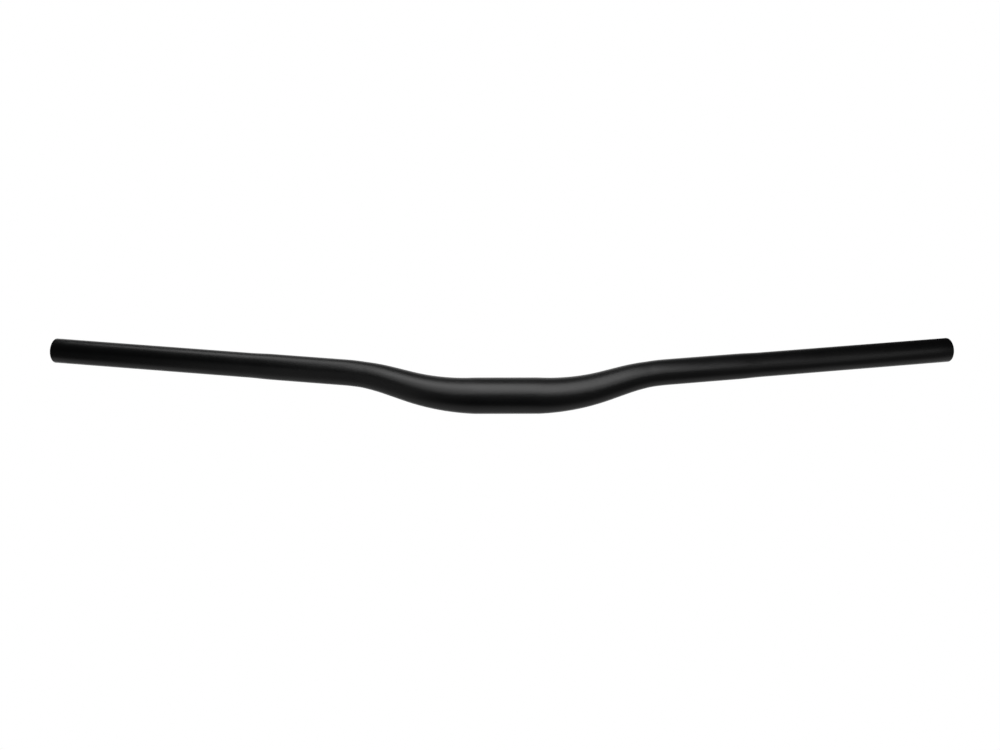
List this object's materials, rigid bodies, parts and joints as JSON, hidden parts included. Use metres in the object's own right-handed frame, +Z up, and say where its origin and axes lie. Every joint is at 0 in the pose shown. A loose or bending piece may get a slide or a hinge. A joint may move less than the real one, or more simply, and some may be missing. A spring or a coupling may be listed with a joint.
{
  "type": "bicycle handlebar",
  "caption": "Bare riser handlebar for a mountain bicycle: a matte black aluminium tube, thick where a stem clamps it, bent up and back, and tapering to straight open-ended arms that step down to grip size.",
  "frame": {"origin": "centre of the clamp zone, on the tube's centre line", "axes": "+X along the bar to the right as seen from in front of the bicycle, +Y backwards to the rider, +Z up"},
  "size_m": [0.8232, 0.0763, 0.0659],
  "materials": {
    "black_anodised": "bead-blasted and anodised matte black"
  },
  "bodies": {
    "root": {"handlebar": "black_anodised"}
  },
  "joints": []
}
